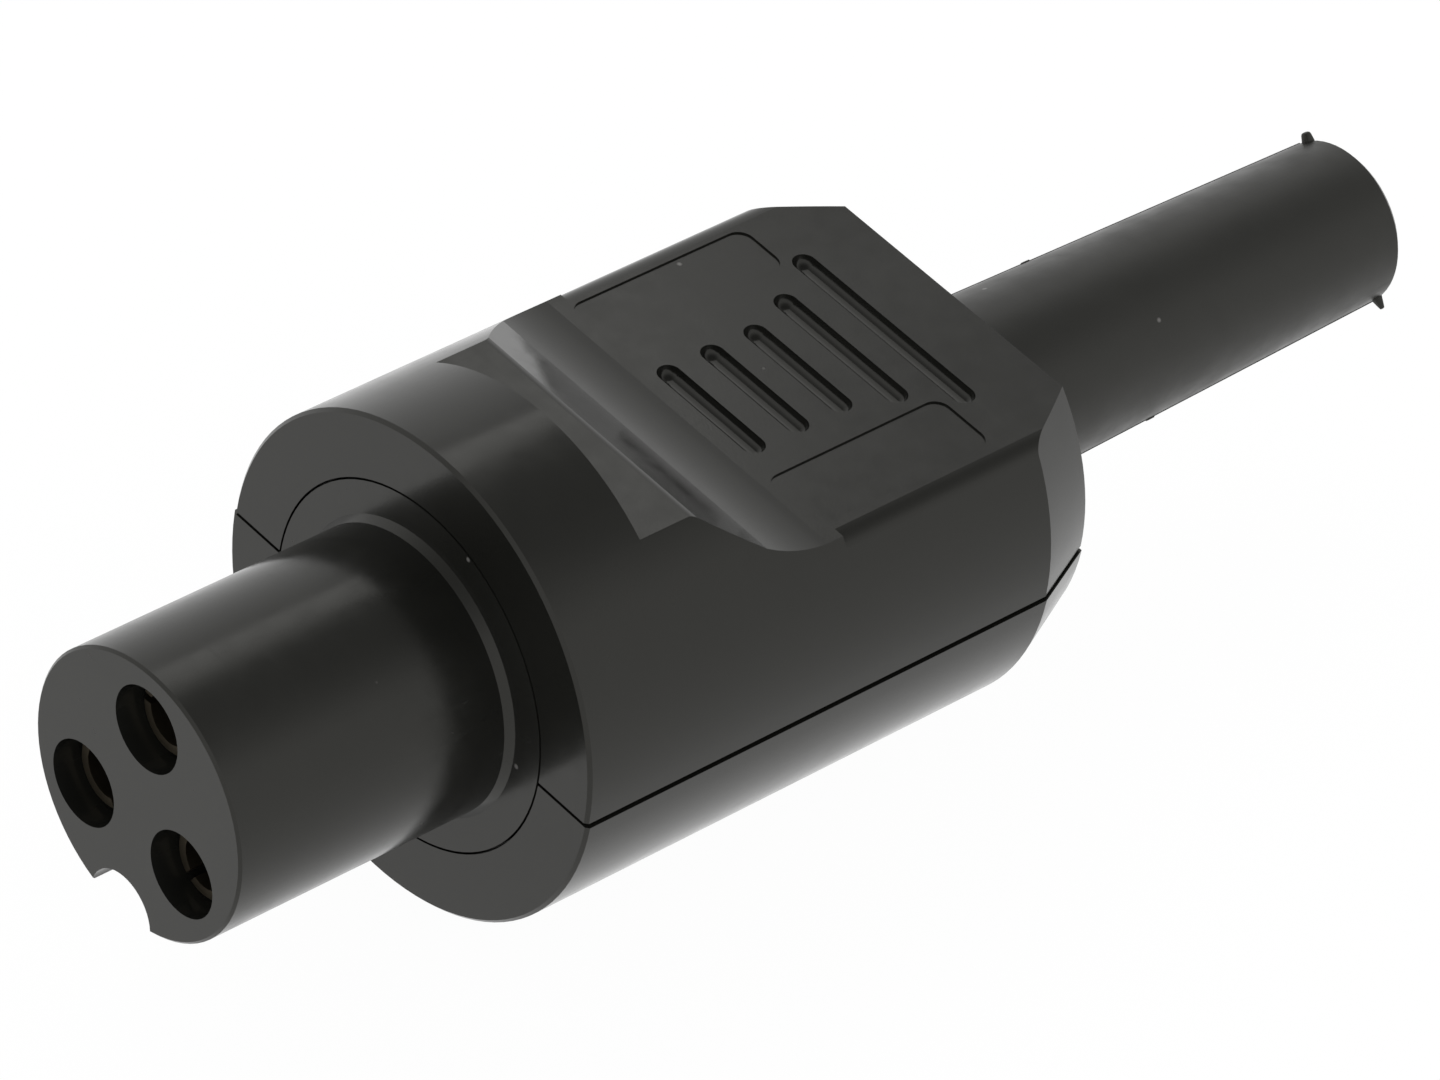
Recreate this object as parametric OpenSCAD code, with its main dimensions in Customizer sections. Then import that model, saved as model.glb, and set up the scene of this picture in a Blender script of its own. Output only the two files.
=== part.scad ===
// Round three-pole cable socket: keyed nose, body of two half shells, flexible cable sleeve.
// The mating axis is X: the nose points to -X and the cable leaves to +X. +Z is the grip's side.
// The origin is on the axis, in the plane of the body's front face.

/* [Nose] */
// Radius of the nose
nose_r = 6.3; // [6.1:0.05:7.6]
// Length of the nose in front of the body
nose_len = 13.9; // [11:0.1:18]
// Chamfer of the nose's front edge
nose_edge = 0.12; // [0.05:0.01:0.3]
// How far the ring at the foot of the nose stands out
foot_lip = 0.25; // [0.1:0.05:0.4]
// Height of that ring above the flange
foot_t = 0.35; // [0.2:0.05:0.6]
// Radius of the half-round keyway, centred on the nose's rim
keyway_r = 1.85; // [1.2:0.05:2.2]
// Distance of the keyway's blind end from the flange
keyway_stop = 1.5; // [0.5:0.1:4]

/* [Contacts] */
// Radius of the circle through the three contact centres
pin_circle_r = 3.55; // [3.4:0.05:4.3]
// Radius of the holes in the nose
hole_r = 1.9; // [1.7:0.05:1.95]
// Bore radius of a contact, for a pin of 2.4 mm
contact_bore_r = 1.2; // [0.9:0.05:1.45]
// Distance of a contact's mouth behind the nose's face
contact_recess = 1.2; // [0.5:0.1:4]
// Depth of a contact's bore
contact_bore_len = 11; // [8:0.5:12]
// Width of the two slits that make a contact springy
slit_w = 0.35; // [0.2:0.05:0.5]
// Length of those slits
slit_len = 7; // [4:0.5:9]
// How far the shoulder stands out that holds a contact in the carrier
shoulder_lip = 0.6; // [0.3:0.05:0.8]
// Thickness of that shoulder
shoulder_t = 0.8; // [0.5:0.05:1.2]
// Radius of the round terminal behind the shoulder
terminal_r = 2.1; // [1.9:0.05:2.3]
// Length of the terminal behind the retainer
terminal_len = 5.5; // [4.5:0.1:6.5]
// Radius of the hole for the wire
wire_r = 1.15; // [0.9:0.05:1.4]
// Depth of the hole for the wire
wire_depth = 4.8; // [4:0.1:5.5]
// Radius of the terminal screws
grub_r = 0.95; // [0.7:0.05:1.1]
// How far the terminal screws stand out of the terminals
grub_out = 0.25; // [0:0.05:0.5]

/* [Carrier] */
// Radius of the flange that shows in the front of the body
flange_r = 8; // [7.9:0.1:9.6]
// Thickness of the flange and of the body's front wall
flange_t = 1.4; // [1:0.1:1.8]
// How far the collar behind the flange stands out
collar_lip = 0.75; // [0.5:0.05:0.9]
// Thickness of the collar
collar_t = 1.6; // [1.3:0.1:2]
// Thickness of the contact retainer
retainer_t = 1.2; // [0.8:0.1:1.5]
// How far the shells' rib reaches over the retainer
rib_lip = 1.45; // [0.8:0.05:1.6]
// Thickness of that rib
rib_t = 1; // [0.8:0.1:1.5]
// Width of the keys that stop the carrier from turning
key_w = 2.4; // [1.5:0.1:3]
// Height of those keys
key_h = 0.8; // [0.5:0.05:1]

/* [Body] */
// Radius of the body
body_r = 11; // [10.8:0.1:13.4]
// Length of the body
body_len = 28.5; // [28:0.5:36]
// Wall of the shells
wall = 2; // [1.6:0.1:2.4]
// Chamfer of the body's front edge
front_edge = 0.15; // [0.05:0.05:0.5]
// Length of the cone at the body's rear
cone_len = 3.4; // [2:0.1:4.2]
// How far that cone tapers in
cone_drop = 1.5; // [1:0.1:2]
// How far the lower shell stands proud of the upper one
lower_proud = 0.1; // [0:0.05:0.2]
// Height of the open line between the shells
seam_h = 0.16; // [0.1:0.02:0.3]
// Depth of that line
seam_d = 0.3; // [0.2:0.05:0.4]
// Width of the tongue that lines the shells up
tongue_w = 0.7; // [0.5:0.05:0.9]
// Height of that tongue
tongue_h = 0.8; // [0.5:0.05:1.2]

/* [Grip] */
// Depth of the grip flat below the top of the body
flat_drop = 4.27; // [3.6:0.01:4.6]
// Depth of the ledge in front of it
ledge_drop = 1.95; // [1.5:0.05:2.4]
// Distance of the ledge from the body's front face
ledge_x = 5.3; // [4.8:0.1:6.4]
// Length of the ledge
ledge_len = 2.75; // [2:0.05:3.3]
// Slope of the ramp behind the ledge, in degrees
ramp_deg = 31.5; // [27:0.5:37]
// Slope at which the ramp turns into the scoop, in degrees
scoop_deg = 24; // [20:0.5:26]
// Radius of the scoop
scoop_r = 8; // [6.7:0.1:9.6]
// Radius of the rounding between ledge and ramp
ridge_r = 1; // [0.5:0.1:1.5]
// Radius of the rounding along the flat's sides
flat_edge_r = 1.2; // [0.6:0.1:1.5]
// Distance of the first grip groove from the body's front face
groove_x = 15.05; // [14.8:0.05:16]
// Distance between the grooves
groove_pitch = 2.38; // [2:0.01:2.5]
// Radius of a groove's round section
groove_r = 0.54; // [0.4:0.02:0.66]
// Half lengths of the grooves, from front to rear
groove_half = [3.1, 3.1, 3.1, 3.9, 5.4];
// Depth of the two bare marking panels beside the grooves
panel_d = 0.08; // [0.04:0.01:0.2]
// Radius of the panels' corners
panel_corner = 0.7; // [0.3:0.1:1]

/* [Cable end] */
// Radius of the cable that the sleeve and the clamp take
cable_r = 3.1; // [2.5:0.05:3.75]
// Wall of the sleeve where it leaves the body
sleeve_wall = 1.2; // [1:0.05:1.5]
// Wall of the sleeve at its far end
sleeve_end_wall = 0.65; // [0.5:0.05:0.9]
// Length of the sleeve outside the body
sleeve_len = 24.6; // [18:0.2:32]
// Radius of the sleeve's rounded far edge
sleeve_edge = 0.3; // [0.1:0.05:0.4]
// How far the sleeve's anchoring ring stands out inside the body
anchor_lip = 1; // [0.6:0.05:1.1]
// Thickness of that ring
anchor_t = 1.4; // [1:0.1:1.8]
// Thickness of the body's rear wall
rear_wall = 1.8; // [1.2:0.1:2.2]
// Thickness of the inner wall in front of the ring
bulkhead_t = 1.3; // [1:0.1:1.6]
// How far the sleeve's tail reaches into the wiring space
tail_out = 0.5; // [0:0.1:1]

/* [Cord clamp] */
// Distance of the clamp from the body's front face
clamp_x = 20; // [19.2:0.1:21]
// Width of the clamp along the cable
clamp_w = 3; // [2.4:0.1:3.6]
// Wall of the clamp's bow
clamp_wall = 1.3; // [1:0.1:1.5]
// Thickness of the clamp's feet
clamp_foot_t = 1.5; // [1:0.1:1.8]
// Distance of the clamp's seat below the axis
clamp_drop = 0.6; // [0.3:0.1:1.2]

/* [Screws] */
// Shank radius of the shell screws
shell_screw_r = 1.1; // [0.9:0.05:1.3]
// Head radius of the shell screws
shell_head_r = 2; // [1.7:0.05:2.2]
// Head height of the shell screws
shell_head_t = 1.4; // [1:0.1:1.7]
// How far those heads lie below the shell's outside
shell_head_sink = 0.3; // [0.1:0.1:1]
// Distance of the shell screws from the body's front face
shell_screw_x = 13.5; // [13:0.1:14.5]
// Distance of the shell screws from the axis
shell_screw_y = 6.6; // [6.4:0.05:6.8]
// Wall of the threaded inserts
insert_wall = 0.65; // [0.5:0.05:0.8]
// Length of the threaded inserts
insert_len = 3.6; // [3:0.1:4]
// Shank radius of the clamp screws
clamp_screw_r = 0.8; // [0.6:0.05:0.95]
// Head radius of the clamp screws
clamp_head_r = 1.45; // [1.2:0.05:1.7]
// Head height of the clamp screws
clamp_head_t = 0.9; // [0.6:0.05:1.1]
// Wall of the bosses round the screws
boss_wall = 0.8; // [0.6:0.05:1]

/* [Fits] */
// Clearance between parts that slide together
fit = 0.1; // [0.05:0.01:0.15]
// Clearance round a screw that passes through
screw_fit = 0.15; // [0.1:0.05:0.2]
// Clearance between a thread and its hole, and round a pressed insert
thread_fit = 0.02; // [0.01:0.01:0.04]

/* [Hidden] */
$fn = 96;

black = [0.1, 0.1, 0.1];
brass = [0.8, 0.64, 0.34];
steel = [0.68, 0.69, 0.7];

// Allowance by which a cut runs past the face that it opens
over = 0.5;
// Overlap by which a rounding crosses the faces that it joins
lap = 0.005;

// Angles of the contacts about the axis, from +Y
earth_a = 90;
line_a = 210;
neutral_a = 330;

// Sides of the body
left = -1;
right = 1;

// Stations along the axis
collar_x0 = flange_t;
collar_x1 = collar_x0 + collar_t;
retainer_x1 = collar_x1 + retainer_t;
rib_x1 = retainer_x1 + rib_t;
mouth_x = contact_recess - nose_len;
shoulder_x0 = collar_x1 - shoulder_t;
terminal_x1 = retainer_x1 + terminal_len;
grub_x = terminal_x1 - wire_depth / 2;
anchor_x1 = body_len - rear_wall;
anchor_x0 = anchor_x1 - anchor_t;
bulkhead_x0 = anchor_x0 - bulkhead_t;
tail_x0 = bulkhead_x0 - tail_out;
sleeve_x1 = body_len + sleeve_len;
cone_x0 = body_len - cone_len;

// Radii
inner_r = body_r - wall;
collar_r = flange_r + collar_lip;
rib_r = collar_r - rib_lip;
sleeve_r = cable_r + sleeve_wall;
sleeve_end_r = cable_r + sleeve_end_wall;
anchor_r = sleeve_r + anchor_lip;
insert_r = shell_screw_r + insert_wall;
contact_r = hole_r - fit;
shoulder_r = contact_r + shoulder_lip;

// Grip outline
flat_z = body_r - flat_drop;
ledge_z = body_r - ledge_drop;
ramp_x = ledge_x + ledge_len;
scoop_z = flat_z + scoop_r * (1 - cos(scoop_deg));
scoop_x = ramp_x + (ledge_z - scoop_z) / tan(ramp_deg);
flat_x = scoop_x + scoop_r * sin(scoop_deg);
ceiling_z = flat_z - wall;

// Screw places
clamp_z = -clamp_drop;
clamp_screw_y = cable_r + clamp_wall + clamp_head_r + screw_fit;
clamp_post_r = clamp_screw_r + boss_wall;
shell_head_hole_r = shell_head_r + screw_fit;
shell_seat_z = shell_head_t + shell_head_sink
    - sqrt(pow(body_r, 2) - pow(shell_screw_y + shell_head_hole_r, 2));

// Solid of revolution about X. The outline gives [radius, station] pairs.
module turned(outline) {
    rotate([0, 90, 0])
        rotate_extrude()
            polygon(outline);
}

// Straight cylinder about X
module rod(x0, x1, r) {
    translate([x0, 0, 0])
        rotate([0, 90, 0])
            cylinder(h = x1 - x0, r = r);
}

// Outline in X and Z, extruded to both sides of the axis
module across(width) {
    rotate([90, 0, 0])
        linear_extrude(height = width, center = true)
            children();
}

// Places its child, modelled along X, on the centre line of the contact at angle a
module at_contact(a) {
    rotate([a - 90, 0, 0])
        translate([0, 0, pin_circle_r])
            children();
}

// Half of the space: side is 1 above the seam and -1 below it
module half_space(side) {
    translate([-over, -2 * body_r, min(side, 0) * 2 * body_r])
        cube([body_len + 2 * over, 4 * body_r, 2 * body_r]);
}

// Outside of the body without its grip, larger all round by grow
module body_form(grow) {
    x0 = max(-grow, 0);
    x1 = body_len + min(grow, 0);
    turned([
        [0, x0], [body_r + grow - front_edge, x0], [body_r + grow, x0 + front_edge],
        [body_r + grow, cone_x0], [body_r - cone_drop + grow, x1], [0, x1]
    ]);
}

// What the grip takes off the body: ledge, ramp, scoop and flat
module grip_steps() {
    top = body_r + over;
    end = body_len + over;
    foot_x = ramp_x + (ledge_z - flat_z) / tan(ramp_deg);
    across(3 * body_r)
        difference() {
            polygon([
                [ledge_x, top], [ledge_x, ledge_z], [ramp_x, ledge_z], [foot_x, flat_z],
                [end, flat_z], [end, top]
            ]);
            scoop_fill();
        }
}

// Material under the scoop's arc, in the corner between ramp and flat
module scoop_fill() {
    difference() {
        translate([scoop_x - over, flat_z - over])
            square([flat_x - scoop_x + over, scoop_z - flat_z + 1.5 * over]);
        translate([flat_x, flat_z + scoop_r])
            circle(r = scoop_r + lap);
    }
}

// Corner taken off the ridge between ledge and ramp
module ridge_corner() {
    t = ridge_r * tan(ramp_deg / 2);
    across(3 * body_r)
        translate([ramp_x - t, ledge_z - ridge_r])
            outside_corner(ridge_r, ramp_deg);
}

// Corners taken off the two long sides of the flat
module side_corners() {
    z = flat_z - flat_edge_r;
    y = sqrt(pow(body_r - flat_edge_r, 2) - pow(z, 2));
    for (side = [0, 1])
        mirror([0, side, 0])
            translate([flat_x + over, y, z])
                rotate([90, 0, 90])
                    linear_extrude(height = body_len - flat_x)
                        outside_corner(flat_edge_r, atan(y / z));
}

// Space outside a round edge of radius r, from its top through the angle turn
module outside_corner(r, turn) {
    far = 2 * r;
    difference() {
        polygon([
            [0, 0], [0, far], [far * tan(turn / 2), far], [far * sin(turn), far * cos(turn)]
        ]);
        circle(r = r + lap);
    }
}

// One grip groove with ball ends
module groove(half) {
    run = half - groove_r;
    rotate([90, 0, 0])
        cylinder(h = 2 * run, r = groove_r, center = true);
    for (side = [left, right])
        translate([0, side * run, 0])
            sphere(r = groove_r);
}

// Rectangle with round corners
module rounded_rect(x0, y0, x1, y1, r) {
    translate([x0 + r, y0])
        square([x1 - x0 - 2 * r, y1 - y0]);
    translate([x0, y0 + r])
        square([x1 - x0, y1 - y0 - 2 * r]);
    for (x = [x0 + r, x1 - r], y = [y0 + r, y1 - r])
        translate([x, y])
            circle(r = r);
}

// All grip grooves in their places
module grooves() {
    for (i = [0 : len(groove_half) - 1])
        translate([groove_x + i * groove_pitch, 0, flat_z])
            groove(groove_half[i]);
}

// Shallow marking panels on both sides of the grooves
module panels() {
    translate([0, 0, flat_z - panel_d])
        linear_extrude(height = over) {
            rounded_rect(flat_x, -7.75, 23.6, -4.45, panel_corner);
            rounded_rect(flat_x + 0.2, 5.1, 23.8, 7.95, panel_corner);
        }
}

// Open line round the outside of the seam
module seam_line() {
    difference() {
        translate([-over, -2 * body_r, -seam_h / 2])
            cube([body_len + 2 * over, 4 * body_r, seam_h]);
        body_form(-seam_d);
    }
}

// Seats of carrier, retainer and sleeve, which both shells share
module seats() {
    rod(-over, collar_x0 + over, flange_r + fit);
    difference() {
        rod(collar_x0, retainer_x1, collar_r + fit);
        for (side = [-1, 1])
            carrier_key(side, 0);
    }
    rod(retainer_x1 - over, rib_x1 + over, rib_r);
    rod(bulkhead_x0 - over, anchor_x0 + over, sleeve_r + fit);
    rod(anchor_x0, anchor_x1, anchor_r + fit);
    rod(anchor_x1 - over, body_len + over, sleeve_r + fit);
}

// Key at the top or bottom of the collar, larger by gap where it is a notch
module carrier_key(side, gap) {
    z0 = collar_r + fit - key_h - gap;
    z1 = collar_r + over;
    translate([collar_x0 - gap, -key_w / 2 - gap, side > 0 ? z0 : -z1])
        cube([collar_t + 2 * gap, key_w + 2 * gap, z1 - z0]);
}

// Tongue along both side walls, larger by gap where it is a groove
module tongues(gap) {
    y0 = body_r - wall / 2 - tongue_w / 2 - gap;
    for (side = [left, right])
        translate([rib_x1 - gap, side > 0 ? y0 : -y0 - tongue_w - 2 * gap, -over])
            cube([bulkhead_x0 - rib_x1 + 2 * gap, tongue_w + 2 * gap, tongue_h + gap + over]);
}

// Vertical cylinders at the same place on both sides of the axis
module pair(x, y, z0, z1, r) {
    for (side = [left, right])
        translate([x, side * y, z0])
            cylinder(h = z1 - z0, r = r);
}

// Screw that points up, with its head's seat at z = 0 and a cross recess
module machine_screw(head_r, head_t, shank_r, shank_len) {
    recess_w = head_r / 4;
    recess_d = head_t / 2;
    color(steel)
        difference() {
            union() {
                cylinder(h = shank_len, r = shank_r);
                translate([0, 0, -head_t])
                    cylinder(h = head_t, r1 = head_r - head_t / 4, r2 = head_r);
            }
            for (turn = [0, 90])
                rotate([0, 0, turn])
                    translate([-head_r * 0.6, -recess_w / 2, -head_t - over])
                        cube([head_r * 1.2, recess_w, recess_d + over]);
        }
}

module upper_shell() {
    color(black)
        difference() {
            union() {
                difference() {
                    intersection() {
                        body_form(0);
                        half_space(1);
                    }
                    seats();
                    difference() {
                        wiring_space();
                        pair(shell_screw_x, shell_screw_y, -over, body_r, insert_r + boss_wall);
                        clamp_saddle();
                    }
                }
                pair(clamp_x, clamp_screw_y, clamp_z, ceiling_z + wall / 2, clamp_post_r);
            }
            grip_steps();
            ridge_corner();
            side_corners();
            grooves();
            panels();
            seam_line();
            tongues(fit);
            pair(shell_screw_x, shell_screw_y, -over, insert_len, insert_r + thread_fit);
            pair(clamp_x, clamp_screw_y, clamp_z - over, ceiling_z, clamp_screw_r + thread_fit);
        }
}

// Hollow of the upper shell, with a ceiling that follows the grip
module wiring_space() {
    intersection() {
        rod(rib_x1, bulkhead_x0, inner_r);
        across(3 * body_r)
            polygon([
                [rib_x1 - over, -over], [rib_x1 - over, ledge_z - wall],
                [ramp_x - over, ledge_z - wall], [flat_x - 2 * over, ceiling_z],
                [bulkhead_x0 + over, ceiling_z], [bulkhead_x0 + over, -over]
            ]);
    }
}

// Rib over the cable, between the clamp's posts
module clamp_saddle() {
    difference() {
        translate([clamp_x - clamp_w / 4, -clamp_screw_y, fit])
            cube([clamp_w / 2, 2 * clamp_screw_y, body_r]);
        rod(clamp_x - clamp_w, clamp_x + clamp_w, cable_r);
    }
}

module lower_shell() {
    color(black)
        difference() {
            union() {
                difference() {
                    intersection() {
                        body_form(lower_proud);
                        half_space(-1);
                    }
                    seats();
                    difference() {
                        rod(rib_x1, bulkhead_x0, inner_r);
                        pair(shell_screw_x, shell_screw_y, -body_r, over, insert_r + boss_wall);
                        pair(shell_screw_x, shell_screw_y, -body_r, shell_seat_z + boss_wall,
                            shell_head_hole_r + boss_wall);
                    }
                }
                intersection() {
                    tongues(0);
                    body_form(-seam_d);
                }
            }
            seam_line();
            pair(shell_screw_x, shell_screw_y, -body_r, over, shell_screw_r + screw_fit);
            pair(shell_screw_x, shell_screw_y, -body_r - over, shell_seat_z, shell_head_hole_r);
        }
}

module contact_carrier() {
    color(black)
        difference() {
            turned([
                [0, -nose_len], [nose_r - nose_edge, -nose_len], [nose_r, nose_edge - nose_len],
                [nose_r, -foot_t], [nose_r + foot_lip, 0], [flange_r, 0], [flange_r, collar_x0],
                [collar_r, collar_x0], [collar_r, collar_x1], [0, collar_x1]
            ]);
            translate([0, 0, -nose_r])
                rod(-nose_len - over, -keyway_stop, keyway_r);
            for (a = [earth_a, line_a, neutral_a])
                at_contact(a) {
                    rod(-nose_len - over, collar_x1 + over, hole_r);
                    rod(shoulder_x0, collar_x1 + over, shoulder_r + fit);
                }
            for (side = [-1, 1])
                carrier_key(side, fit);
        }
}

module contact_retainer() {
    color(black)
        difference() {
            rod(collar_x1, retainer_x1, collar_r);
            for (a = [earth_a, line_a, neutral_a])
                at_contact(a)
                    rod(collar_x1 - over, retainer_x1 + over, terminal_r + fit);
        }
}

// Turned female contact: slit tube, shoulder and screw terminal
module contact(a) {
    lead = (contact_r - contact_bore_r) / 3;
    color(brass)
        at_contact(a)
            difference() {
                turned([
                    [0, mouth_x], [contact_r - lead, mouth_x], [contact_r, mouth_x + lead],
                    [contact_r, shoulder_x0], [shoulder_r, shoulder_x0], [shoulder_r, collar_x1],
                    [terminal_r, collar_x1], [terminal_r, terminal_x1], [0, terminal_x1]
                ]);
                rod(mouth_x - over, mouth_x + contact_bore_len, contact_bore_r);
                translate([mouth_x - over, -2 * contact_r, -slit_w / 2])
                    cube([slit_len + over, 4 * contact_r, slit_w]);
                rod(terminal_x1 - wire_depth, terminal_x1 + over, wire_r);
                translate([grub_x, 0, 0])
                    cylinder(h = terminal_r + over, r = grub_r + thread_fit);
            }
}

// Headless slotted screw that presses on the wire
module terminal_screw(a) {
    tip = wire_r / 2;
    slot_w = grub_r / 3;
    top = terminal_r + grub_out;
    color(steel)
        at_contact(a)
            translate([grub_x, 0, 0])
                difference() {
                    translate([0, 0, tip])
                        cylinder(h = top - tip, r = grub_r);
                    translate([-2 * grub_r, -slot_w / 2, top - slot_w])
                        cube([4 * grub_r, slot_w, over + slot_w]);
                }
}

// Bow under the cable with two round feet
module cord_clamp() {
    x0 = clamp_x - clamp_w / 2;
    x1 = clamp_x + clamp_w / 2;
    color(black)
        difference() {
            union() {
                intersection() {
                    rod(x0, x1, cable_r + clamp_wall);
                    translate([x0, -body_r, -body_r])
                        cube([clamp_w, 2 * body_r, body_r - clamp_drop]);
                }
                translate([x0, -clamp_screw_y, clamp_z - clamp_foot_t])
                    cube([clamp_w, 2 * clamp_screw_y, clamp_foot_t]);
                pair(clamp_x, clamp_screw_y, clamp_z - clamp_foot_t, clamp_z, clamp_w / 2);
            }
            rod(x0 - over, x1 + over, cable_r);
            pair(clamp_x, clamp_screw_y, clamp_z - 2 * clamp_foot_t, clamp_z + over,
                clamp_screw_r + screw_fit);
        }
}

module clamp_screw(side) {
    translate([clamp_x, side * clamp_screw_y, clamp_z - clamp_foot_t])
        machine_screw(clamp_head_r, clamp_head_t, clamp_screw_r,
            ceiling_z - clamp_z + clamp_foot_t - over);
}

module shell_screw(side) {
    translate([shell_screw_x, side * shell_screw_y, shell_seat_z])
        machine_screw(shell_head_r, shell_head_t, shell_screw_r,
            insert_len - shell_seat_z - over);
}

module shell_insert(side) {
    color(brass)
        translate([shell_screw_x, side * shell_screw_y, 0])
            difference() {
                cylinder(h = insert_len, r = insert_r);
                translate([0, 0, -over])
                    cylinder(h = insert_len + 2 * over, r = shell_screw_r + thread_fit);
            }
}

// Flexible sleeve: anchored tail inside the body, tapered tube outside
module cable_sleeve() {
    color(black)
        difference() {
            turned([
                [0, tail_x0], [sleeve_r, tail_x0], [sleeve_r, anchor_x0], [anchor_r, anchor_x0],
                [anchor_r, anchor_x1], [sleeve_r, anchor_x1], [sleeve_r, body_len],
                [sleeve_end_r, sleeve_x1 - sleeve_edge], [sleeve_end_r - sleeve_edge, sleeve_x1],
                [0, sleeve_x1]
            ]);
            rod(tail_x0 - over, sleeve_x1 + over, cable_r);
        }
}

upper_shell();
lower_shell();
contact_carrier();
contact_retainer();
contact(earth_a);  // earth_contact
contact(line_a);  // line_contact
contact(neutral_a);  // neutral_contact
terminal_screw(earth_a);  // earth_terminal_screw
terminal_screw(line_a);  // line_terminal_screw
terminal_screw(neutral_a);  // neutral_terminal_screw
cord_clamp();
clamp_screw(left);  // clamp_screw_left
clamp_screw(right);  // clamp_screw_right
shell_screw(left);  // shell_screw_left
shell_screw(right);  // shell_screw_right
shell_insert(left);  // shell_insert_left
shell_insert(right);  // shell_insert_right
cable_sleeve();
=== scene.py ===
import math

import bpy
from mathutils import Matrix, Quaternion, Vector


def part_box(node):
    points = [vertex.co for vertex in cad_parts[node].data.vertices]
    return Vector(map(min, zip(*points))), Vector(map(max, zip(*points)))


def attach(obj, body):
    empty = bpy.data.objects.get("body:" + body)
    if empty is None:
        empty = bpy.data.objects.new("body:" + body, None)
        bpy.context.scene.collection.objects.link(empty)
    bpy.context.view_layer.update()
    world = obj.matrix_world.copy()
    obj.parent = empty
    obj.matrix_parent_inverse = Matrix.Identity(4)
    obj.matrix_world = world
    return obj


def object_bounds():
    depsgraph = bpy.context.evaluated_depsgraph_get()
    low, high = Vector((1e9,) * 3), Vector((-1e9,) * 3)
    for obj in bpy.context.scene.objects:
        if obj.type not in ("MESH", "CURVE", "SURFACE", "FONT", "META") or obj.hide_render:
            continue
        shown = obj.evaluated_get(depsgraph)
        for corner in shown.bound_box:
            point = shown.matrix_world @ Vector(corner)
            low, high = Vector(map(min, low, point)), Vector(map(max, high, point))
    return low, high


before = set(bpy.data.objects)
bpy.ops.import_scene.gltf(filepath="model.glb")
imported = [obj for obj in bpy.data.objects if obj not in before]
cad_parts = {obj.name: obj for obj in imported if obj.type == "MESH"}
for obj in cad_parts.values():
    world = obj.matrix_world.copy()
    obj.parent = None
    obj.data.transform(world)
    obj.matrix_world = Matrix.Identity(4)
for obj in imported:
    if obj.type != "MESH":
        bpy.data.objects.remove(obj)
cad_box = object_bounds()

MM = 0.001
scene = bpy.context.scene
scene.view_settings.view_transform = "Standard"

# ---------------------------------------------------------------- camera
# A long lens looks down at the socket from in front of the nose, a little to the left of it.
camera_data = bpy.data.cameras.new("camera")
camera_data.lens = 229.14
camera_data.sensor_width = 36
camera_data.clip_start = 0.01
camera_data.clip_end = 20
camera = bpy.data.objects.new("camera", camera_data)
camera.rotation_mode = "QUATERNION"
camera.rotation_quaternion = Quaternion((0.860345, 0.360724, -0.207994, -0.293977))
camera.location = Vector((-197.624, -187.794, 244.730)) * MM
scene.collection.objects.link(camera)
scene.camera = camera


# ---------------------------------------------------------------- shell halves
# The body is two moulded half shells of black polyamide from a polished tool. They have a
# satin gloss, a very fine grain, faint flow marks and the hairlines of handling.

def put(tree, kind, label="", **values):
    """A shader node with its inputs and properties set by name."""
    made = tree.nodes.new(kind)
    made.label = label
    for key, value in values.items():
        if key in made.inputs:
            made.inputs[key].default_value = value
        else:
            setattr(made, key, value)
    return made


def new_group(name, inputs, outputs):
    """An empty shader node group with named float inputs and outputs."""
    tree = bpy.data.node_groups.new(name, "ShaderNodeTree")
    for label, value in inputs.items():
        tree.interface.new_socket(label, in_out="INPUT", socket_type="NodeSocketFloat")
        tree.interface.items_tree[-1].default_value = value
    tree.interface.new_socket("Place", in_out="INPUT", socket_type="NodeSocketVector")
    for label in outputs:
        tree.interface.new_socket(label, in_out="OUTPUT", socket_type="NodeSocketFloat")
    return tree, tree.nodes.new("NodeGroupInput"), tree.nodes.new("NodeGroupOutput")


def mould_skin():
    """Surface left by a mould: fine grain in Height, flow marks in Tone and Sheen."""
    tree, given, out = new_group(
        "mould_skin", {"Grain": 6000.0, "Flow": 160.0}, ("Height", "Tone", "Sheen"))
    link = tree.links.new
    grain = put(tree, "ShaderNodeTexNoise", "grain", Detail=3.0, Roughness=0.6)
    flow = put(tree, "ShaderNodeTexNoise", "flow", Detail=4.0, Roughness=0.55, Distortion=0.6)
    patch = put(tree, "ShaderNodeTexNoise", "patch", Detail=2.0, Scale=900.0)
    for noise in (grain, flow, patch):
        link(given.outputs["Place"], noise.inputs["Vector"])
    link(given.outputs["Grain"], grain.inputs["Scale"])
    link(given.outputs["Flow"], flow.inputs["Scale"])
    both = put(tree, "ShaderNodeMath", "sheen", operation="MULTIPLY_ADD")
    both.inputs[1].default_value = 0.5
    link(patch.outputs["Fac"], both.inputs[0])
    half = put(tree, "ShaderNodeMath", "half", operation="MULTIPLY")
    half.inputs[1].default_value = 0.5
    link(flow.outputs["Fac"], half.inputs[0])
    link(half.outputs[0], both.inputs[2])
    link(grain.outputs["Fac"], out.inputs["Height"])
    link(flow.outputs["Fac"], out.inputs["Tone"])
    link(both.outputs[0], out.inputs["Sheen"])
    return tree


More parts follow.
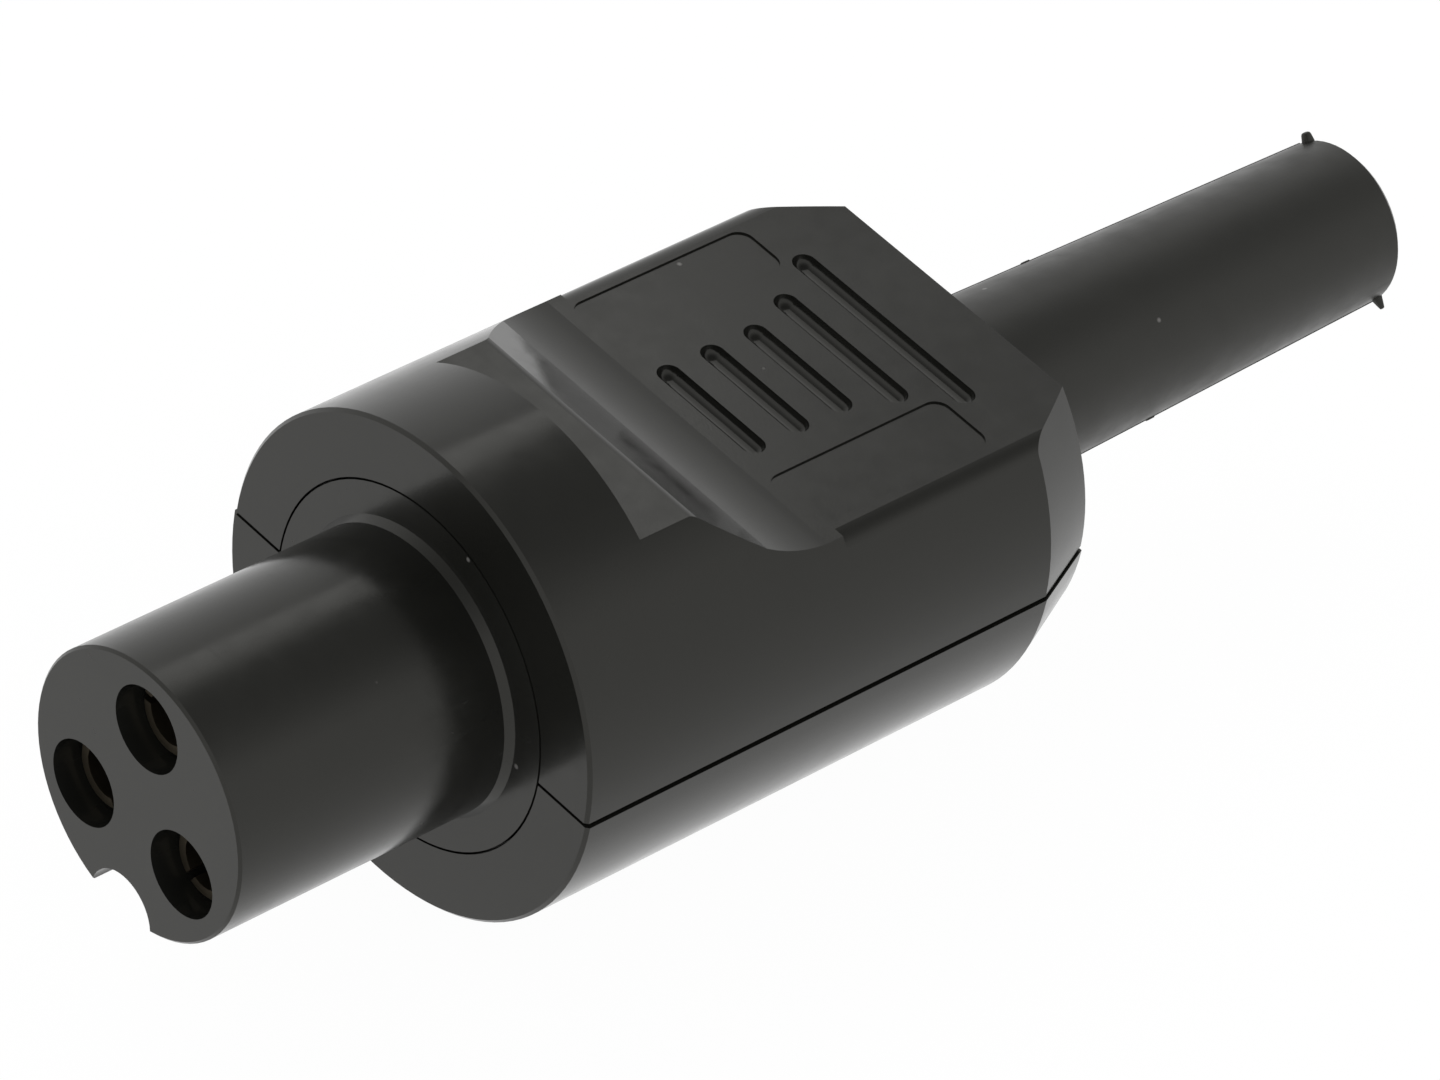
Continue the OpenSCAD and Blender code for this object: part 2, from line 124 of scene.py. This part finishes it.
def hairlines():
    """Fine rub marks along and across the piece, as a mask."""
    tree, given, out = new_group("hairlines", {"Amount": 0.5}, ("Mask",))
    link = tree.links.new
    masks = []
    strokes = (("along", (60, 2600, 2600), 0.35), ("across", (2200, 90, 2200), -0.5))
    for label, stretch, turn in strokes:
        spread = put(tree, "ShaderNodeMapping", label)
        spread.inputs["Scale"].default_value = stretch
        spread.inputs["Rotation"].default_value = (0.2, 0.1, turn)
        line = put(tree, "ShaderNodeTexNoise", label, Scale=1.0, Detail=2.0)
        cut = put(tree, "ShaderNodeMapRange", label)
        cut.inputs["From Min"].default_value = 0.66
        cut.inputs["From Max"].default_value = 0.74
        link(given.outputs["Place"], spread.inputs["Vector"])
        link(spread.outputs[0], line.inputs["Vector"])
        link(line.outputs["Fac"], cut.inputs["Value"])
        masks.append(cut)
    most = put(tree, "ShaderNodeMath", "both", operation="MAXIMUM")
    link(masks[0].outputs[0], most.inputs[0])
    link(masks[1].outputs[0], most.inputs[1])
    scaled = put(tree, "ShaderNodeMath", "amount", operation="MULTIPLY")
    link(most.outputs[0], scaled.inputs[0])
    link(given.outputs["Amount"], scaled.inputs[1])
    link(scaled.outputs[0], out.inputs["Mask"])
    return tree


def dust_specks():
    """Sparse pale specks of dust, as a mask."""
    tree, given, out = new_group("dust_specks", {"Cells": 700.0, "Share": 0.12}, ("Mask",))
    link = tree.links.new
    cells = put(tree, "ShaderNodeTexVoronoi", "cells", Randomness=1.0)
    link(given.outputs["Place"], cells.inputs["Vector"])
    link(given.outputs["Cells"], cells.inputs["Scale"])
    near = put(tree, "ShaderNodeMapRange", "speck")
    near.inputs["From Min"].default_value = 0.10
    near.inputs["From Max"].default_value = 0.05
    link(cells.outputs["Distance"], near.inputs["Value"])
    split = put(tree, "ShaderNodeSeparateColor", "chance")
    link(cells.outputs["Color"], split.inputs["Color"])
    chosen = put(tree, "ShaderNodeMath", "chosen", operation="LESS_THAN")
    link(split.outputs["Red"], chosen.inputs[0])
    link(given.outputs["Share"], chosen.inputs[1])
    mask = put(tree, "ShaderNodeMath", "mask", operation="MULTIPLY")
    link(near.outputs[0], mask.inputs[0])
    link(chosen.outputs[0], mask.inputs[1])
    link(mask.outputs[0], out.inputs["Mask"])
    return tree


SKIN = mould_skin()
HAIRLINES = hairlines()
DUST = dust_specks()


def moulded_plastic(name, dark, light, smooth, rough, grain, grain_depth, rubbed, dusty):
    """Black moulded plastic between two tones and two roughnesses."""
    made = bpy.data.materials.new(name)
    made.use_nodes = True
    tree = made.node_tree
    link = tree.links.new
    surface = tree.nodes["Principled BSDF"]
    place = put(tree, "ShaderNodeTexCoord")
    groups = {}
    for key, group in (("skin", SKIN), ("lines", HAIRLINES), ("dust", DUST)):
        groups[key] = put(tree, "ShaderNodeGroup", key, node_tree=group)
        link(place.outputs["Object"], groups[key].inputs["Place"])
    groups["skin"].inputs["Grain"].default_value = grain
    groups["lines"].inputs["Amount"].default_value = rubbed
    groups["dust"].inputs["Share"].default_value = dusty

    tone = put(tree, "ShaderNodeMix", "tone", data_type="RGBA")
    tone.inputs["A"].default_value = (*dark, 1)
    tone.inputs["B"].default_value = (*light, 1)
    link(groups["skin"].outputs["Tone"], tone.inputs["Factor"])
    specked = put(tree, "ShaderNodeMix", "specked", data_type="RGBA")
    specked.inputs["B"].default_value = (0.16, 0.155, 0.15, 1)
    link(groups["dust"].outputs["Mask"], specked.inputs["Factor"])
    link(tone.outputs["Result"], specked.inputs["A"])
    link(specked.outputs["Result"], surface.inputs["Base Color"])

    sheen = put(tree, "ShaderNodeMapRange", "sheen")
    sheen.inputs["From Min"].default_value = 0.35
    sheen.inputs["From Max"].default_value = 0.65
    sheen.inputs["To Min"].default_value = smooth
    sheen.inputs["To Max"].default_value = rough
    link(groups["skin"].outputs["Sheen"], sheen.inputs["Value"])
    worn = put(tree, "ShaderNodeMath", "worn", operation="MULTIPLY_ADD", use_clamp=True)
    worn.inputs[1].default_value = 0.25
    link(groups["lines"].outputs["Mask"], worn.inputs[0])
    link(sheen.outputs[0], worn.inputs[2])
    link(worn.outputs[0], surface.inputs["Roughness"])

    bump = put(tree, "ShaderNodeBump", "grain", Strength=1.0, Distance=grain_depth)
    link(groups["skin"].outputs["Height"], bump.inputs["Height"])
    link(bump.outputs["Normal"], surface.inputs["Normal"])
    surface.inputs["IOR"].default_value = 1.41
    surface.inputs["Specular Tint"].default_value = (1.0, 0.99, 0.93, 1)
    return made


def dress(name, material):
    """Gives a node of the frame its finish."""
    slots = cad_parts[name].data.materials
    slots.clear()
    slots.append(material)


shell_plastic = moulded_plastic(
    "satin_black_polyamide", dark=(0.0085, 0.0086, 0.0074), light=(0.0130, 0.0131, 0.0114),
    smooth=0.11, rough=0.20, grain=7000.0, grain_depth=0.0000012, rubbed=0.15, dusty=0.05)
dress("upper_shell", shell_plastic)
dress("lower_shell", shell_plastic)


# ---------------------------------------------------------------- contact carrier
# The nose and its flange are one moulding of a finer, duller black plastic. The retainer
# behind the contacts and the cord clamp are of the same plastic.

carrier_plastic = moulded_plastic(
    "fine_black_plastic", dark=(0.0095, 0.0096, 0.0084), light=(0.0170, 0.0172, 0.0152),
    smooth=0.15, rough=0.25, grain=9000.0, grain_depth=0.0000014, rubbed=0.2, dusty=0.09)
for piece in ("contact_carrier", "contact_retainer", "cord_clamp"):
    dress(piece, carrier_plastic)


# ---------------------------------------------------------------- cable sleeve
# A soft black sleeve, moulded round a core pin and tapered. Its tool closes along two lines,
# which leave a fine bead, a nub on each side and a nib of flash at the far end.

sleeve_rubber = moulded_plastic(
    "soft_black_vinyl", dark=(0.0120, 0.0121, 0.0106), light=(0.0180, 0.0181, 0.0160),
    smooth=0.32, rough=0.44, grain=5000.0, grain_depth=0.0000022, rubbed=0.15, dusty=0.08)
dress("cable_sleeve", sleeve_rubber)

SLEEVE_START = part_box("upper_shell")[1].x / MM
SLEEVE_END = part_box("cable_sleeve")[1].x / MM
SLEEVE_START_R = 4.3
SLEEVE_END_R = 3.75
SLEEVE_TAPER = (SLEEVE_START_R - SLEEVE_END_R) / (SLEEVE_END - SLEEVE_START)


def flash(name, x, turn, length, width, proud, tip):
    """A bead of flash on the sleeve, in millimetres, at a turn in degrees about the axis.

    It is a rounded block, proud of the sleeve, narrowed to the share tip of its foot.
    """
    bpy.ops.object.select_all(action="DESELECT")
    bpy.ops.mesh.primitive_cube_add(size=1.0)
    piece = bpy.context.object
    piece.name = name
    sunk = 0.12
    swing = Matrix.Rotation(math.radians(turn), 4, "X")
    for corner in piece.data.vertices:
        along, aside, out = corner.co
        narrow = tip if out > 0 else 1.0
        place_x = x + along * length * narrow
        wall_r = SLEEVE_END_R + SLEEVE_TAPER * (SLEEVE_END - place_x)
        height = wall_r + (proud if out > 0 else -sunk)
        corner.co = swing @ Vector((place_x, height, aside * width * narrow)) * MM
    bpy.ops.object.mode_set(mode="EDIT")
    bpy.ops.mesh.select_all(action="SELECT")
    bpy.ops.mesh.normals_make_consistent(inside=False)
    bpy.ops.mesh.bevel(offset=min(width, proud) * tip * 0.4 * MM, segments=3, affect="EDGES")
    bpy.ops.object.mode_set(mode="OBJECT")
    bpy.ops.object.shade_smooth_by_angle(angle=math.radians(40))
    piece.data.materials.append(sleeve_rubber)
    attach(piece, "root")


SPLIT_TOP = 37.0
SPLIT_BOTTOM = SPLIT_TOP + 180
SPLIT_LENGTH = SLEEVE_END - 29.0
SPLIT_MIDDLE = (SLEEVE_END + 28.6) / 2

flash("sleeve_flash_top", 52.70, 50.0, length=0.55, width=0.45, proud=0.42, tip=0.7)
flash("sleeve_flash_bottom", 52.75, 212.0, length=0.5, width=0.35, proud=0.5, tip=0.4)
flash("sleeve_nub_top", 36.7, SPLIT_TOP, length=0.6, width=0.3, proud=0.07, tip=0.6)
flash("sleeve_nub_bottom", 39.05, SPLIT_BOTTOM, length=0.6, width=0.3, proud=0.07, tip=0.6)
for side, turn in (("top", SPLIT_TOP), ("bottom", SPLIT_BOTTOM)):
    flash("sleeve_split_" + side, SPLIT_MIDDLE, turn,
          length=SPLIT_LENGTH, width=0.12, proud=0.03, tip=0.999)


# ---------------------------------------------------------------- contacts and inserts
# Turned brass with fine rings from the lathe, its colour darkened as painted shade of the deep
# holes. The three contacts sit deep in the nose, and the two threaded inserts are pressed into
# the upper shell.

def turned_metal(name, colour, shade, ring_scale, rough):
    """Metal between a clean colour and a stained shade, with rings across the axis."""
    made = bpy.data.materials.new(name)
    made.use_nodes = True
    tree = made.node_tree
    link = tree.links.new
    surface = tree.nodes["Principled BSDF"]
    place = put(tree, "ShaderNodeTexCoord")
    rings = put(tree, "ShaderNodeTexWave", "lathe rings", bands_direction="X",
                Scale=ring_scale, Distortion=1.2, Detail=2.0)
    stain = put(tree, "ShaderNodeTexNoise", "stain", Scale=700.0, Detail=4.0)
    for texture in (rings, stain):
        link(place.outputs["Object"], texture.inputs["Vector"])
    tone = put(tree, "ShaderNodeMix", "tone", data_type="RGBA")
    tone.inputs["A"].default_value = (*colour, 1)
    tone.inputs["B"].default_value = (*shade, 1)
    link(stain.outputs["Fac"], tone.inputs["Factor"])
    link(tone.outputs["Result"], surface.inputs["Base Color"])
    dull = put(tree, "ShaderNodeMapRange", "dull")
    dull.inputs["To Min"].default_value = rough
    dull.inputs["To Max"].default_value = rough + 0.2
    link(stain.outputs["Fac"], dull.inputs["Value"])
    link(dull.outputs[0], surface.inputs["Roughness"])
    bump = put(tree, "ShaderNodeBump", "rings", Strength=0.6, Distance=0.000004)
    link(rings.outputs["Fac"], bump.inputs["Height"])
    link(bump.outputs["Normal"], surface.inputs["Normal"])
    surface.inputs["Metallic"].default_value = 1.0
    return made


# Both brass colours are darkened below clean brass: painted shade of the holes the contacts sit
# in.
brass_painted_shade = turned_metal("turned_brass_painted_shade", (0.17, 0.145, 0.105), (0.09, 0.077, 0.056), 3000.0, 0.34)
for piece in ("earth_contact", "line_contact", "neutral_contact",
              "shell_insert_left", "shell_insert_right"):
    dress(piece, brass_painted_shade)


# ---------------------------------------------------------------- screws
# Small plated steel screws: two hold the shells together, two hold the cord clamp, and
# three grub screws clamp the wires.

plated_steel = turned_metal("plated_steel", (0.56, 0.56, 0.55), (0.36, 0.35, 0.34), 5000.0, 0.28)
for piece in ("shell_screw_left", "shell_screw_right", "clamp_screw_left", "clamp_screw_right",
              "earth_terminal_screw", "line_terminal_screw", "neutral_terminal_screw"):
    dress(piece, plated_steel)


# ---------------------------------------------------------------- table and light
# A white table under a white tent. The tent is bright low down and dimmer overhead, and one
# wide lamp stands above and behind.

def table_top(height):
    """The table, with its top at a height."""
    bpy.ops.object.select_all(action="DESELECT")
    bpy.ops.mesh.primitive_plane_add(size=3.0, location=(0, 0, height))
    table = bpy.context.object
    table.name = "table"
    bpy.ops.object.transform_apply(location=True)

    # The camera and reflections see it nearly white. The rest is lit, so a shadow stays.
    made = bpy.data.materials.new("white_table")
    made.use_nodes = True
    tree = made.node_tree
    link = tree.links.new
    surface = tree.nodes["Principled BSDF"]
    surface.inputs["Base Color"].default_value = (0.95, 0.95, 0.95, 1)
    surface.inputs["Roughness"].default_value = 0.9
    surface.inputs["Specular IOR Level"].default_value = 0.0
    glow = put(tree, "ShaderNodeEmission", "paper white", Strength=1.02)
    path = put(tree, "ShaderNodeLightPath")
    seen = put(tree, "ShaderNodeMath", "seen", operation="MAXIMUM")
    link(path.outputs["Is Camera Ray"], seen.inputs[0])
    link(path.outputs["Is Glossy Ray"], seen.inputs[1])
    share = put(tree, "ShaderNodeMath", "share", operation="MULTIPLY")
    share.inputs[1].default_value = 0.95
    link(seen.outputs[0], share.inputs[0])
    blend = put(tree, "ShaderNodeMixShader")
    link(share.outputs[0], blend.inputs[0])
    link(surface.outputs[0], blend.inputs[1])
    link(glow.outputs[0], blend.inputs[2])
    link(blend.outputs[0], tree.nodes["Material Output"].inputs["Surface"])
    table.data.materials.append(made)


table_top(cad_box[0].z)

world = bpy.data.worlds.new("tent")
scene.world = world
world.use_nodes = True
tent = world.node_tree
for old in list(tent.nodes):
    tent.nodes.remove(old)
ray = put(tent, "ShaderNodeTexCoord")
split = put(tent, "ShaderNodeSeparateXYZ")
tent.links.new(ray.outputs["Generated"], split.inputs[0])
dome = put(tent, "ShaderNodeMapRange", "dimmer overhead", interpolation_type="SMOOTHSTEP")
dome.inputs["From Min"].default_value = 0.45
dome.inputs["From Max"].default_value = 0.95
dome.inputs["To Min"].default_value = 1.0
dome.inputs["To Max"].default_value = 0.25
tent.links.new(split.outputs["Z"], dome.inputs["Value"])
soft = put(tent, "ShaderNodeBackground", "tent", Strength=1.0)
tent.links.new(dome.outputs[0], soft.inputs["Color"])
white = put(tent, "ShaderNodeBackground", "white backdrop", Color=(1, 1, 1, 1), Strength=1.0)
path = put(tent, "ShaderNodeLightPath")
choice = put(tent, "ShaderNodeMixShader")
tent.links.new(path.outputs["Is Camera Ray"], choice.inputs[0])
tent.links.new(soft.outputs[0], choice.inputs[1])
tent.links.new(white.outputs[0], choice.inputs[2])
made = put(tent, "ShaderNodeOutputWorld")
tent.links.new(choice.outputs[0], made.inputs["Surface"])

lamp_data = bpy.data.lights.new("soft_lamp", "AREA")
lamp_data.energy = 0.6
lamp_data.shape = "RECTANGLE"
lamp_data.size = 0.5
lamp_data.size_y = 0.35
lamp = bpy.data.objects.new("soft_lamp", lamp_data)
lamp.location = (0.15, 0.35, 0.55)
lamp.rotation_mode = "QUATERNION"
lamp.rotation_quaternion = lamp.location.to_track_quat("Z", "Y")
scene.collection.objects.link(lamp)
